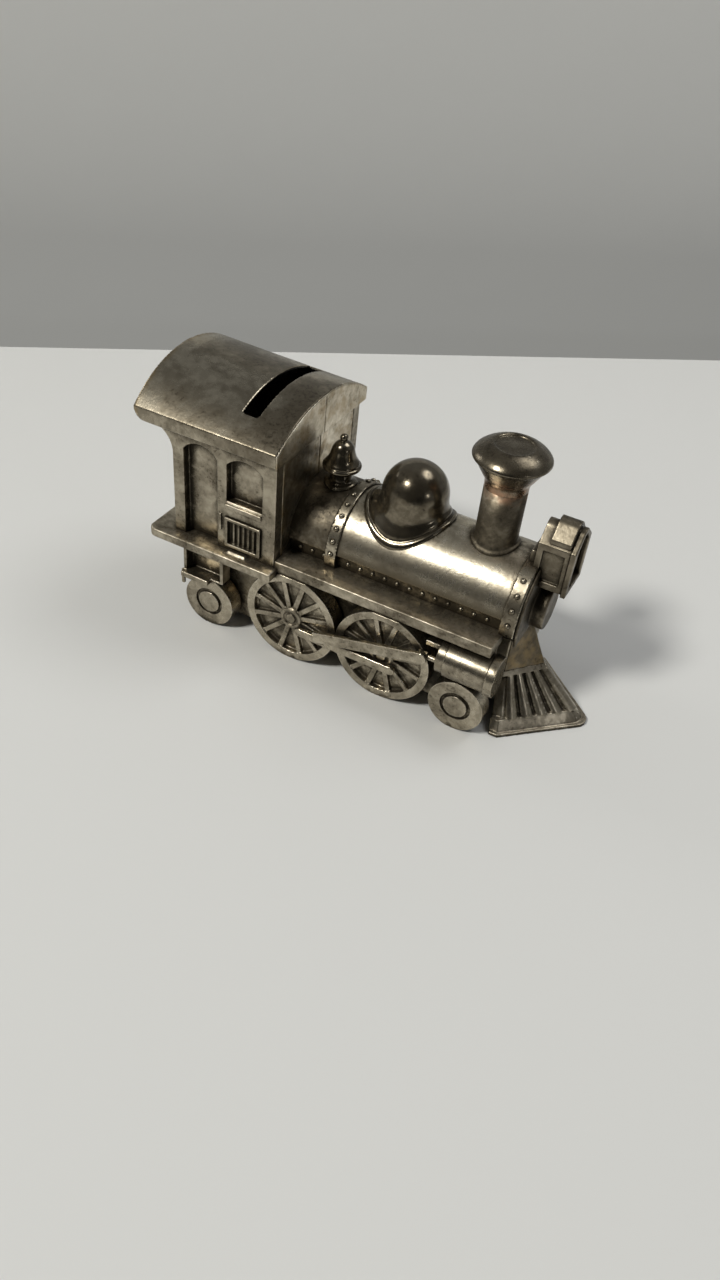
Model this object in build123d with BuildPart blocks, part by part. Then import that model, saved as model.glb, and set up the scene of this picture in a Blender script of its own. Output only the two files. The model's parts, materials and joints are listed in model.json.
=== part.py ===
from build123d import *
from math import sqrt
import os

# Cast metal coin bank in the shape of a steam locomotive.
# X runs forward, Y to the locomotive's left, Z up. The wheels stand on z = 0,
# and the origin is under the middle of the whole length.
# Right-hand pieces are the left-hand ones mirrored across the XZ plane.

os.makedirs("parts", exist_ok=True)

# ---- driving dimensions (mm) ----
rear_end = -75.0              # rear edge of the cab roof
front_end = 75.0              # point of the pilot

wheel_face_y = 25.1           # outer face of every wheel
wheel_back_y = 19.6
frame_outer_y = 18.5
frame_thickness = 2.0
frame_bottom_z = 3.0
frame_rear_x = -58.0
frame_front_x = 46.0

small_wheel_radius = 9.0
small_wheel_hub_radius = 3.9
hub_groove_width = 1.1
hub_groove_depth = 0.9
small_wheel_x = (-50.3, 39.2)
drive_wheel_radius = 16.1
drive_wheel_x = (-19.25, 13.05)
drive_rim_width = 2.6
drive_spoke_count = 12
drive_spoke_width = 1.7
axle_radius = 2.5

deck_half_width = 29.0
deck_rear_x = -70.7
deck_front_x = -25.2
deck_bottom_z = 29.9
deck_top_z = 33.0

cab_rear_x = -62.8
cab_front_x = -26.2
cab_half_width = 25.0
cab_wall = 4.0
cab_end_wall = 2.0
recess_depth = 2.8
roof_half_width = 27.0
roof_front_x = -25.0
fascia_bottom_z = 68.9
eave_z = 73.2
roof_rise_front = 8.3
roof_rise_rear = 10.9
roof_wall = 2.2
roof_edge_wall = 1.3           # where the roof comes down on the side walls
roof_lip = 0.5                # front edge of the gable, flush with the roof surface
roof_rear_corner = 3.9

slot_x = -39.5
slot_width = 5.1
slot_length = 37.0

board_outer_y = 24.6
board_inner_y = 15.4
board_top_z = 35.3
board_plate = 1.5
board_lip = 1.2
board_lip_bottom_z = 31.6
board_front_x = 46.4

boiler_axis_z = 37.7
boiler_radius = 16.9
boiler_wall = 2.0
boiler_front_x = 49.7
boiler_lower_edge_z = 39.8
band_radius = 17.5
rear_band_x = (-12.9, -9.1)
front_band_x = (45.1, 49.7)
rivet_radius = 0.75            # along the boiler's flanks
band_rivet_radius = 0.9
flank_rivet_pitch = 4.2
flank_rivet_z = 37.4

stack_x = 33.7
stack_radius = 6.4
stack_neck_z = 72.2
dome_x = 6.9
dome_radius = 10.2
dome_centre_z = 59.9
bell_x = -18.2

lamp_half_width = 6.5
lamp_x = (47.9, 57.5)
lamp_floor_z = 48.0
lamp_spring_z = 62.4
lamp_crown_z = 67.2

pilot_top_z = 17.0

cylinder_y = 22.2
cylinder_z = 24.2
cylinder_radius = 6.0

stopper_radius = 13.5
stopper_flange_radius = 15.2


def save(piece, name):
    piece.part.label = name
    export_step(piece.part, f"parts/{name}.step")


def save_pair(left, name):
    save(left, f"{name}_left")
    with BuildPart() as right:
        mirror(left.part, about=Plane.XZ)
    save(right, f"{name}_right")


def box_between(low, high, mode=Mode.ADD):
    size = [b - a for a, b in zip(low, high)]
    middle = tuple((a + b) / 2 for a, b in zip(low, high))
    with Locations(middle):
        Box(*size, mode=mode)


def boiler_envelope(radius, x_from, x_to, mode):
    with Locations(Location(((x_from + x_to) / 2, 0, boiler_axis_z), (0, 90, 0))):
        Cylinder(radius, x_to - x_from, mode=mode)


def rise_at(x):
    share = (roof_front_x - x) / (roof_front_x - rear_end)
    return roof_rise_front + (roof_rise_rear - roof_rise_front) * share


def arch_profile(half_width, bottom_z, spring_z, crown_z):
    with BuildLine() as outline:
        Polyline(
            (-half_width, spring_z), (-half_width, bottom_z), (half_width, bottom_z), (half_width, spring_z)
        )
        ThreePointArc((half_width, spring_z), (0, crown_z), (-half_width, spring_z))
    make_face(outline.edges())


def under_roof_profile(x, bottom_z):
    # The space under the roof cover at one station along the length.
    spring_z = eave_z - roof_edge_wall
    crown_z = eave_z + rise_at(x) - roof_wall
    arch_profile(cab_half_width, bottom_z, spring_z, crown_z)


# ---- cab roof: a cover that curves down to a fascia on each side ----
with BuildPart() as cab_roof:
    for x in (rear_end, roof_front_x - roof_lip):
        with BuildSketch(Plane.YZ.offset(x)):
            arch_profile(roof_half_width, fascia_bottom_z, eave_z, eave_z + rise_at(x))
    loft()
    fillet(cab_roof.edges().filter_by(Axis.Y).sort_by(Axis.X)[0], roof_rear_corner)
    for x in (rear_end, roof_front_x - roof_lip):
        with BuildSketch(Plane.YZ.offset(x)):
            under_roof_profile(x, fascia_bottom_z - 1.0)
    loft(mode=Mode.SUBTRACT)
    box_between(
        (slot_x - slot_width / 2, -slot_length / 2, eave_z),
        (slot_x + slot_width / 2, slot_length / 2, eave_z + 12),
        mode=Mode.SUBTRACT,
    )
save(cab_roof, "cab_roof")


# ---- cab side walls: door and window recesses under round heads ----
door_x = (-58.9, -46.8)
door_arch_z = (63.4, 66.6)     # where the round head springs, and its crown
window_x = (-43.5, -30.8)
window_sill_z = 50.8
window_arch_z = (63.2, 66.2)
grille_x = (-43.7, -31.0)
grille_z = (34.9, 45.3)
grille_depth = 1.6
wall_top_z = 71.2
overhang_rear_x = -69.5        # rear end of the side wall under the roof's overhang
bracket_foot_z = 60.9
bracket_radius = 8.6
sill_z = (48.6, 50.2)
sill_relief = 0.9
handle_x = (-45.9, -45.0)
handle_z = (40.0, 46.0)
handle_relief = 0.7


def arched_recess(x_range, bottom_z, arch_z):
    x_rear, x_front = x_range
    spring_z, crown_z = arch_z
    with BuildSketch(Plane.XZ.offset(-cab_half_width)) as opening:
        with BuildLine():
            Polyline((x_rear, spring_z), (x_rear, bottom_z), (x_front, bottom_z), (x_front, spring_z))
            ThreePointArc((x_front, spring_z), ((x_rear + x_front) / 2, crown_z), (x_rear, spring_z))
        make_face()
    extrude(opening.sketch, amount=recess_depth, mode=Mode.SUBTRACT)


with BuildPart() as cab_side:
    wall_front_x = roof_front_x - cab_end_wall
    with BuildSketch(Plane.XZ.offset(-cab_half_width)):
        with BuildLine():
            Polyline(
                (cab_rear_x, bracket_foot_z), (cab_rear_x, deck_top_z), (cab_front_x, deck_top_z),
                (cab_front_x, fascia_bottom_z), (wall_front_x, fascia_bottom_z), (wall_front_x, wall_top_z),
                (overhang_rear_x, wall_top_z), (overhang_rear_x, fascia_bottom_z),
            )
            RadiusArc((overhang_rear_x, fascia_bottom_z), (cab_rear_x, bracket_foot_z), bracket_radius)
        make_face()
    extrude(amount=cab_wall)
    arched_recess(door_x, deck_top_z, door_arch_z)
    arched_recess(window_x, window_sill_z, window_arch_z)
    box_between(
        (grille_x[0], cab_half_width - grille_depth, grille_z[0]),
        (grille_x[1], cab_half_width, grille_z[1]),
        mode=Mode.SUBTRACT,
    )
    box_between(
        (window_x[0], cab_half_width, sill_z[0]),
        (window_x[1], cab_half_width + sill_relief, sill_z[1]),
    )
    box_between(
        (handle_x[0], cab_half_width, handle_z[0]),
        (handle_x[1], cab_half_width + handle_relief, handle_z[1]),
    )
save_pair(cab_side, "cab_side")

# ---- cab side grille: a raised frame round upright bars ----
grille_bar_count = 5
grille_bar_width = 0.7
grille_border = 1.0
grille_relief = 0.8
bar_back_y = cab_half_width - 0.9
with BuildPart() as side_grille:
    box_between(
        (grille_x[0], cab_half_width - grille_depth, grille_z[0]),
        (grille_x[1], cab_half_width + grille_relief, grille_z[1]),
    )
    box_between(
        (grille_x[0] + grille_border, bar_back_y, grille_z[0] + grille_border),
        (grille_x[1] - grille_border, cab_half_width + grille_relief, grille_z[1] - grille_border),
        mode=Mode.SUBTRACT,
    )
    bar_pitch = (grille_x[1] - grille_x[0] - 2 * grille_border) / (grille_bar_count + 1)
    for i in range(grille_bar_count):
        bar_x = grille_x[0] + grille_border + bar_pitch * (i + 1)
        box_between(
            (bar_x - grille_bar_width / 2, bar_back_y, grille_z[0] + grille_border),
            (bar_x + grille_bar_width / 2, cab_half_width - 0.1, grille_z[1] - grille_border),
        )
save_pair(side_grille, "side_grille")

# ---- cab front: two halves that meet on the centre line, each with its half of the gable ----
cab_inner_y = cab_half_width - cab_wall
with BuildPart() as cab_front:
    box_between((cab_front_x - cab_end_wall, 0, deck_top_z), (cab_front_x, cab_inner_y, fascia_bottom_z))
    with BuildSketch(Plane.YZ.offset(roof_front_x - cab_end_wall)):
        under_roof_profile(roof_front_x, fascia_bottom_z)
    extrude(amount=cab_end_wall)
    with BuildSketch(Plane.YZ.offset(roof_front_x - roof_lip)):
        arch_profile(roof_half_width, fascia_bottom_z, eave_z, eave_z + rise_at(roof_front_x))
    extrude(amount=roof_lip)
    box_between((-40, -40, 0), (0, 0, 100), mode=Mode.SUBTRACT)
    boiler_envelope(boiler_radius - boiler_wall, -40, 0, Mode.SUBTRACT)
save_pair(cab_front, "cab_front")

# ---- cab rear wall, with the end wall and soffit of the roof's rear overhang ----
soffit_top_z = 70.4
rear_window_y = 10.2
rear_window_z = 55.0
rear_window_size = (12.5, 17.0, 3.0)
rear_window_depth = 1.2
with BuildPart() as cab_rear_panel:
    rear_wall_front_x = cab_rear_x + cab_end_wall
    box_between((cab_rear_x, -cab_inner_y, deck_top_z), (rear_wall_front_x, cab_inner_y, fascia_bottom_z))
    box_between((rear_end, -cab_inner_y, fascia_bottom_z), (rear_wall_front_x, cab_inner_y, soffit_top_z))
    with BuildSketch(Plane.YZ.offset(rear_end)):
        under_roof_profile(rear_end + cab_end_wall, fascia_bottom_z)
    extrude(amount=cab_end_wall)
    fillet(cab_rear_panel.edges().filter_by(Axis.Y).group_by(Axis.X)[0].sort_by(Axis.Z)[0], roof_rear_corner)
    with BuildSketch(Plane.YZ.offset(cab_rear_x)):
        with Locations((-rear_window_y, rear_window_z), (rear_window_y, rear_window_z)):
            RectangleRounded(*rear_window_size)
    extrude(amount=rear_window_depth, mode=Mode.SUBTRACT)
save(cab_rear_panel, "cab_rear_panel")

# ---- cab deck, with a low rounded foot block outside each grille ----
deck_corner_radius = 2.5
deck_hole_x = (-56.0, -29.5)
deck_hole_half_width = 15.0
foot_block_x = -38.9
foot_block_size = (6.4, 1.5, 0.8)
with BuildPart() as cab_deck:
    box_between(
        (deck_rear_x, -deck_half_width, deck_bottom_z),
        (deck_front_x, deck_half_width, deck_top_z),
    )
    fillet(cab_deck.edges().filter_by(Axis.Z).group_by(Axis.X)[0], deck_corner_radius)
    box_between(
        (deck_hole_x[0], -deck_hole_half_width, deck_bottom_z),
        (deck_hole_x[1], deck_hole_half_width, deck_top_z),
        mode=Mode.SUBTRACT,
    )
    foot_block_y = cab_half_width + foot_block_size[1] / 2
    with Locations((foot_block_x, foot_block_y, deck_top_z), (foot_block_x, -foot_block_y, deck_top_z)):
        Box(*foot_block_size, align=(Align.CENTER, Align.CENTER, Align.MIN))
save(cab_deck, "cab_deck")

# ---- boiler: an arch of sheet over a straight-sided cradle, closed by the smokebox front ----
def boiler_shell(x_from, x_to):
    boiler_envelope(boiler_radius, x_from, x_to, Mode.ADD)
    boiler_envelope(boiler_radius - boiler_wall, x_from - 1, x_to + 1, Mode.SUBTRACT)
    box_between((x_from - 1, -20, 0), (x_to + 1, 20, boiler_lower_edge_z), mode=Mode.SUBTRACT)


band_joint_x = rear_band_x[0]
with BuildPart() as firebox_wrapper:
    boiler_shell(cab_front_x, band_joint_x)
save(firebox_wrapper, "firebox_wrapper")

with BuildPart() as boiler_barrel:
    boiler_shell(band_joint_x, boiler_front_x)
save(boiler_barrel, "boiler_barrel")


def boiler_band(x_range):
    boiler_envelope(band_radius, x_range[0], x_range[1], Mode.ADD)
    boiler_envelope(boiler_radius, x_range[0] - 1, x_range[1] + 1, Mode.SUBTRACT)
    box_between((x_range[0] - 1, -20, 0), (x_range[1] + 1, 20, board_top_z), mode=Mode.SUBTRACT)


with BuildPart() as rear_boiler_band:
    boiler_band(rear_band_x)
save(rear_boiler_band, "rear_boiler_band")

with BuildPart() as front_boiler_band:
    boiler_band(front_band_x)
save(front_boiler_band, "front_boiler_band")


def band_rivets(x_range, angles):
    # Domed heads round the band, measured up from the horizontal on each side.
    middle_x = (x_range[0] + x_range[1]) / 2
    for angle in angles:
        for side in (angle, 180 - angle):
            with Locations(Location((middle_x, 0, boiler_axis_z), (side - 90, 0, 0))):
                with Locations((0, 0, band_radius)):
                    Sphere(band_rivet_radius)
    boiler_envelope(band_radius, x_range[0] - 2, x_range[1] + 2, Mode.SUBTRACT)


with BuildPart() as rear_band_rivets:
    band_rivets(rear_band_x, (8, 21.4, 34.8, 48.2, 61.6, 75))
save(rear_band_rivets, "rear_band_rivets")

with BuildPart() as front_band_rivets:
    band_rivets(front_band_x, (5.5, 21, 36, 51.5))
save(front_band_rivets, "front_band_rivets")

# ---- cradle strips below the boiler, each with its row of rivets ----
cradle_thickness = 2.0
with BuildPart() as boiler_cradle:
    box_between(
        (cab_front_x, board_inner_y - cradle_thickness, deck_top_z),
        (boiler_front_x, board_inner_y, boiler_lower_edge_z),
    )
save_pair(boiler_cradle, "boiler_cradle")

flank_rivet_count = 17
first_flank_rivet_x = cab_front_x + 3.9
with BuildPart() as flank_rivets:
    for i in range(flank_rivet_count):
        rivet_x = first_flank_rivet_x + flank_rivet_pitch * i
        if rear_band_x[0] - 1 < rivet_x < rear_band_x[1] + 1:
            continue
        if rivet_x > front_band_x[0] - 1:
            continue
        with Locations((rivet_x, board_inner_y, flank_rivet_z)):
            Sphere(rivet_radius)
    box_between((-40, 0, 30), (60, board_inner_y, 45), mode=Mode.SUBTRACT)
save_pair(flank_rivets, "flank_rivets")

# ---- smokebox front: disc with a round boss, and a spigot into the barrel ----
smokebox_front_x = 50.6
smokebox_foot_z = 31.0
boss_radius = 7.0
boss_front_x = 54.8
smokebox_radius = boiler_radius - 0.3
spigot_length = 1.5
with BuildPart() as smokebox_front:
    boiler_envelope(smokebox_radius, boiler_front_x, smokebox_front_x, Mode.ADD)
    boiler_envelope(boss_radius, smokebox_front_x, boss_front_x, Mode.ADD)
    boiler_envelope(boiler_radius - boiler_wall, boiler_front_x - spigot_length, boiler_front_x, Mode.ADD)
    box_between((40, -20, 0), (boiler_front_x, 20, boiler_lower_edge_z), mode=Mode.SUBTRACT)
    box_between((40, -20, 0), (smokebox_front_x, 20, smokebox_foot_z), mode=Mode.SUBTRACT)
    fillet(smokebox_front.edges().filter_by(GeomType.CIRCLE).group_by(Axis.X)[-1], 0.6)
save(smokebox_front, "smokebox_front")

# ---- running boards ----
with BuildPart() as running_board:
    box_between(
        (deck_front_x, board_inner_y, board_top_z - board_plate),
        (board_front_x, board_outer_y, board_top_z),
    )
    box_between(
        (deck_front_x, board_outer_y - board_lip, board_lip_bottom_z),
        (board_front_x, board_outer_y, board_top_z),
    )
    box_between(
        (board_front_x - board_lip, board_inner_y, board_lip_bottom_z),
        (board_front_x, board_outer_y, board_top_z),
    )
    box_between((cab_front_x, board_inner_y, deck_top_z), (deck_front_x, board_outer_y, board_top_z))
save_pair(running_board, "running_board")

# ---- frame: two side plates with axle holes, end blocks, base plate and coin stopper ----
all_wheels = [(x, small_wheel_radius) for x in small_wheel_x]
all_wheels += [(x, drive_wheel_radius) for x in drive_wheel_x]
frame_inner_y = frame_outer_y - frame_thickness
with BuildPart() as frame_side:
    box_between((frame_rear_x, frame_inner_y, frame_bottom_z), (deck_front_x, frame_outer_y, deck_bottom_z))
    box_between(
        (deck_front_x, frame_inner_y, frame_bottom_z),
        (frame_front_x, frame_outer_y, board_top_z - board_plate),
    )
    box_between((frame_front_x - board_lip, 0, board_lip_bottom_z), (60, 40, 60), mode=Mode.SUBTRACT)
    for x, radius in all_wheels:
        with Locations(Location((x, frame_outer_y, radius), (90, 0, 0))):
            Cylinder(axle_radius, 20, mode=Mode.SUBTRACT)
save_pair(frame_side, "frame_side")

rear_block_front_x = frame_rear_x + frame_thickness
with BuildPart() as frame_rear_block:
    box_between(
        (frame_rear_x, -frame_inner_y, frame_bottom_z),
        (rear_block_front_x, frame_inner_y, deck_bottom_z),
    )
save(frame_rear_block, "frame_rear_block")

block_rear_x = 43.0
block_half_width = 11.0
block_front_x = 48.1
with BuildPart() as frame_front_block:
    box_between(
        (block_rear_x, -frame_inner_y, frame_bottom_z),
        (block_rear_x + frame_thickness, frame_inner_y, pilot_top_z),
    )
    box_between(
        (block_rear_x, -block_half_width, pilot_top_z),
        (block_front_x, block_half_width, smokebox_foot_z),
    )
save(frame_front_block, "frame_front_block")

stopper_x = -10.0
base_plate_thickness = 2.0
with BuildPart() as base_plate:
    box_between(
        (rear_block_front_x, -frame_inner_y, frame_bottom_z),
        (block_rear_x, frame_inner_y, frame_bottom_z + base_plate_thickness),
    )
    with Locations((stopper_x, 0, frame_bottom_z)):
        Cylinder(stopper_radius, 20, mode=Mode.SUBTRACT)
save(base_plate, "base_plate")

stopper_flange = 1.4
stopper_height = 4.4
stopper_fit = 0.05             # gap round the plug
plug_taper = 4                 # degrees
grip_length = 16.0             # finger grip across the stopper's underside
grip_width = 5.0
grip_rib = 1.6
grip_depth = 0.8
with BuildPart() as coin_stopper:
    with BuildSketch(Plane.XY.offset(frame_bottom_z - stopper_flange)):
        with Locations((stopper_x, 0)):
            Circle(stopper_flange_radius)
    extrude(amount=stopper_flange)
    with BuildSketch(Plane.XY.offset(frame_bottom_z)):
        with Locations((stopper_x, 0)):
            Circle(stopper_radius - stopper_fit)
    extrude(amount=stopper_height, taper=plug_taper)
    with BuildSketch(Plane.XY.offset(frame_bottom_z - stopper_flange)):
        with Locations((stopper_x, 0)):
            SlotOverall(grip_length, grip_width)
            Rectangle(grip_length, grip_rib, mode=Mode.SUBTRACT)
    extrude(amount=grip_depth, mode=Mode.SUBTRACT)
save(coin_stopper, "coin_stopper")


# ---- wheels ----
def wheel_disc(x, radius, y_from, y_to, mode=Mode.ADD, centre_z=None):
    height = radius if centre_z is None else centre_z
    with Locations(Location((x, (y_from + y_to) / 2, height), (90, 0, 0))):
        Cylinder(radius, y_to - y_from, mode=mode)


def axle_stub(x, z):
    wheel_disc(x, axle_radius, frame_inner_y, frame_outer_y, centre_z=z)
    wheel_disc(x, 4.6, frame_outer_y, wheel_back_y, centre_z=z)


for name, x in zip(("rear_wheel", "front_wheel"), small_wheel_x):
    with BuildPart() as small_wheel:
        wheel_disc(x, small_wheel_radius, wheel_back_y, wheel_face_y)
        groove_y = wheel_face_y - hub_groove_depth
        groove_radius = small_wheel_hub_radius + hub_groove_width
        wheel_disc(x, groove_radius, groove_y, wheel_face_y, Mode.SUBTRACT, small_wheel_radius)
        wheel_disc(x, small_wheel_hub_radius, groove_y, wheel_face_y + 0.2, centre_z=small_wheel_radius)
        axle_stub(x, small_wheel_radius)
    save_pair(small_wheel, name)

drive_web_y = wheel_face_y - 1.9
spoke_face_y = wheel_face_y - 0.5
first_spoke_angle = 15
hub_boss_radius = 3.7
hub_ring_radius = 2.6
hub_pin_radius = 1.6
rim_inner_radius = drive_wheel_radius - drive_rim_width
spoke_length = rim_inner_radius - 2.0
spoke_middle_radius = rim_inner_radius / 2 + 1.2
for name, x in zip(("rear_drive_wheel", "front_drive_wheel"), drive_wheel_x):
    with BuildPart() as drive_wheel:
        wheel_disc(x, drive_wheel_radius, wheel_back_y, wheel_face_y)
        wheel_disc(x, rim_inner_radius, drive_web_y, wheel_face_y, Mode.SUBTRACT, drive_wheel_radius)
        with BuildSketch(Plane.XZ.offset(-spoke_face_y)):
            with Locations((x, drive_wheel_radius)):
                with PolarLocations(spoke_middle_radius, drive_spoke_count, start_angle=first_spoke_angle):
                    Rectangle(spoke_length, drive_spoke_width)
        extrude(amount=spoke_face_y - drive_web_y)
        wheel_disc(x, hub_boss_radius, drive_web_y, wheel_face_y, centre_z=drive_wheel_radius)
        wheel_disc(x, hub_ring_radius, spoke_face_y, wheel_face_y, Mode.SUBTRACT, drive_wheel_radius)
        wheel_disc(x, hub_pin_radius, spoke_face_y, wheel_face_y, centre_z=drive_wheel_radius)
        axle_stub(x, drive_wheel_radius)
        box_between(
            (x - drive_wheel_radius, board_outer_y - board_lip, board_lip_bottom_z),
            (x + drive_wheel_radius, deck_half_width, board_top_z),
            mode=Mode.SUBTRACT,
        )
        box_between(
            (deck_rear_x, 0, deck_bottom_z),
            (deck_front_x, deck_half_width, board_top_z),
            mode=Mode.SUBTRACT,
        )
    save_pair(drive_wheel, name)

# ---- rods: the coupling rod against the wheels, the main rod over it ----
crank_x = 4.0
crank_z = -3.0
coupling_rod_y = (wheel_face_y, wheel_face_y + 1.5)
main_rod_y = (coupling_rod_y[1], coupling_rod_y[1] + 1.4)
wheel_spacing = drive_wheel_x[1] - drive_wheel_x[0]
with BuildPart() as coupling_rod:
    with BuildSketch(Plane.XZ.offset(-coupling_rod_y[1])):
        with Locations((drive_wheel_x[0] + crank_x + wheel_spacing / 2, drive_wheel_radius + crank_z)):
            SlotCenterToCenter(wheel_spacing, 2.9)
    extrude(amount=coupling_rod_y[1] - coupling_rod_y[0])
save_pair(coupling_rod, "coupling_rod")

main_rod_rear = (-9.4, 15.1)
main_rod_front = (26.6, 24.2)
main_rod_depth = 3.7
rod_run = main_rod_front[0] - main_rod_rear[0]
rod_rise = main_rod_front[1] - main_rod_rear[1]
rod_length = sqrt(rod_run**2 + rod_rise**2)
rod_tilt = Vector(1, 0).get_angle(Vector(rod_run, rod_rise))
rod_middle = ((main_rod_rear[0] + main_rod_front[0]) / 2, (main_rod_rear[1] + main_rod_front[1]) / 2)
crosshead_low = (25.0, coupling_rod_y[0], 22.8)
crosshead_high = (28.2, main_rod_y[0], 25.6)
with BuildPart() as main_rod:
    with BuildSketch(Plane.XZ.offset(-main_rod_y[1])):
        with Locations(Location((*rod_middle, 0), (0, 0, rod_tilt))):
            SlotCenterToCenter(rod_length, main_rod_depth)
            with Locations((-rod_length / 2 - 1.0, 0)):
                Rectangle(2.0, main_rod_depth + 1, mode=Mode.SUBTRACT)
    extrude(amount=main_rod_y[1] - main_rod_y[0])
    box_between(crosshead_low, crosshead_high)
save_pair(main_rod, "main_rod")

# ---- cylinders, each with a slide bar and a piston rod ----
cylinder_rear_x = 31.2
cylinder_ring_x = 33.8
cylinder_flange_x = 47.2
cylinder_front_x = 49.8
ring_inset = 0.6
flange_margin = 0.5
slide_bar_low = (26.2, 20.4, 27.0)
slide_bar_high = (cylinder_rear_x, 24.0, 28.6)
piston_rod_radius = 0.9
piston_rod_y = 25.7


def cylinder_disc(x_from, x_to, radius):
    with Locations(Location(((x_from + x_to) / 2, cylinder_y, cylinder_z), (0, 90, 0))):
        Cylinder(radius, x_to - x_from)


with BuildPart() as cylinder:
    cylinder_disc(cylinder_rear_x, cylinder_ring_x, cylinder_radius - ring_inset)
    cylinder_disc(cylinder_ring_x, cylinder_flange_x, cylinder_radius)
    cylinder_disc(cylinder_flange_x, cylinder_front_x, cylinder_radius + flange_margin)
    box_between((30, 0, 10), (52, frame_outer_y, 40), mode=Mode.SUBTRACT)
save_pair(cylinder, "cylinder")

with BuildPart() as slide_bar:
    box_between(slide_bar_low, slide_bar_high)
save_pair(slide_bar, "slide_bar")

with BuildPart() as piston_rod:
    rod_start_x = crosshead_high[0]
    with Locations(Location(((rod_start_x + cylinder_rear_x) / 2, piston_rod_y, cylinder_z), (0, 90, 0))):
        Cylinder(piston_rod_radius, cylinder_rear_x - rod_start_x)
save_pair(piston_rod, "piston_rod")

# ---- steps under the cab: a deep open riser over a tread that stands out ----
step_x = (-59.8, -44.7)
step_inner_y = 21.0
step_face_y = 25.4
step_side_wall = 1.1
step_back_wall = 0.9
step_bottom_z = 18.2
tread_top_z = 18.8
tread_front_x = -49.6
tread_outer_y = 27.2
tread_thickness = 2.0
tread_back_y = wheel_face_y + 0.05
drop_bottom_z = 13.4
with BuildPart() as cab_step:
    box_between((step_x[0], step_inner_y, step_bottom_z), (step_x[1], step_face_y, deck_bottom_z))
    box_between(
        (step_x[0] + step_side_wall, step_inner_y + step_back_wall, tread_top_z),
        (step_x[1] - step_side_wall, step_face_y, deck_bottom_z - step_side_wall),
        mode=Mode.SUBTRACT,
    )
    box_between(
        (step_x[0], tread_back_y, tread_top_z - tread_thickness),
        (tread_front_x, tread_outer_y, tread_top_z),
    )
    box_between(
        (step_x[0] - 0.5, tread_back_y, drop_bottom_z),
        (step_x[0] + 0.6, tread_back_y + 1.0, tread_top_z),
    )
save_pair(cab_step, "cab_step")

# ---- smokestack and its spreading cap ----
def saddle_flange(x, radius, thickness):
    # A round pad that follows the curve of the boiler.
    with BuildPart(mode=Mode.PRIVATE) as pad:
        with Locations((x, 0, boiler_axis_z + 20)):
            Cylinder(radius, 40)
        boiler_envelope(boiler_radius + thickness, x - 30, x + 30, Mode.INTERSECT)
    add(pad.part)


with BuildPart() as smokestack:
    with Locations((stack_x, 0, boiler_axis_z)):
        Cylinder(stack_radius, stack_neck_z - boiler_axis_z, align=(Align.CENTER, Align.CENTER, Align.MIN))
    saddle_flange(stack_x, 7.5, 0.7)
    boiler_envelope(boiler_radius, 0, 60, Mode.SUBTRACT)
save(smokestack, "smokestack")

stack_rim_radius = 11.3
flare_middle = (8.0, 75.8)     # points of the cap's outline, as radius and height
flare_top = (10.4, 80.3)
cap_groove = (10.0, 80.6)
cap_underside = (11.0, 80.9)
cap_rim_z = (81.2, 81.7)
lid_shoulder = (9.0, 84.0)
lid_crown = (6.0, 85.4)        # rim of the shallow hollow in the lid
lid_hollow = (5.5, 85.0)


def from_stack(point):
    return (stack_x + point[0], point[1])


with BuildPart() as stack_cap:
    with BuildSketch(Plane.XZ):
        with BuildLine():
            Line((stack_x, stack_neck_z), (stack_x + stack_radius, stack_neck_z))
            Spline(
                (stack_x + stack_radius, stack_neck_z),
                from_stack(flare_middle),
                from_stack(flare_top),
                tangents=((0.15, 1), (0.5, 0.8)),
            )
            Polyline(
                from_stack(flare_top), from_stack(cap_groove), from_stack(cap_underside),
                from_stack((stack_rim_radius, cap_rim_z[0])), from_stack((stack_rim_radius, cap_rim_z[1])),
            )
            ThreePointArc(
                from_stack((stack_rim_radius, cap_rim_z[1])), from_stack(lid_shoulder), from_stack(lid_crown)
            )
            Polyline(
                from_stack(lid_crown), from_stack(lid_hollow),
                (stack_x, lid_hollow[1]), (stack_x, stack_neck_z),
            )
        make_face()
    revolve(axis=Axis((stack_x, 0, 0), (0, 0, 1)))
save(stack_cap, "stack_cap")

# ---- steam dome, on a flange that sits a little further back ----
dome_flange_x = dome_x - 0.8
with BuildPart() as steam_dome:
    with Locations((dome_x, 0, boiler_axis_z)):
        Cylinder(dome_radius, dome_centre_z - boiler_axis_z, align=(Align.CENTER, Align.CENTER, Align.MIN))
    with Locations((dome_x, 0, dome_centre_z)):
        Sphere(dome_radius)
    saddle_flange(dome_flange_x, 14.0, 0.9)
    saddle_flange(dome_flange_x, 12.3, 2.0)
    boiler_envelope(boiler_radius, -40, 60, Mode.SUBTRACT)
save(steam_dome, "steam_dome")

# ---- bell on its stand ----
bell_lip_z = 59.5
bell_lip_radius = 6.05
bell_lip_thickness = 1.3
bell_outline = ((4.7, 62.5), (3.8, 64.7), (3.3, 66.5), (2.4, 67.9))
bell_top = (1.0, 68.6)
knob_radius = 1.3
knob_z = 69.55
with BuildPart() as bell:
    with BuildSketch(Plane.XZ):
        with BuildLine():
            lip_edge = (bell_x + bell_lip_radius, bell_lip_z + bell_lip_thickness)
            shoulder = (bell_x + bell_top[0], bell_top[1])
            Polyline((bell_x, bell_lip_z), (bell_x + bell_lip_radius, bell_lip_z), lip_edge)
            Spline(lip_edge, *[(bell_x + radius, z) for radius, z in bell_outline], shoulder)
            Polyline(shoulder, (bell_x, bell_top[1]), (bell_x, bell_lip_z))
        make_face()
    revolve(axis=Axis((bell_x, 0, 0), (0, 0, 1)))
    with Locations((bell_x, 0, knob_z)):
        Sphere(knob_radius)
save(bell, "bell")

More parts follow.
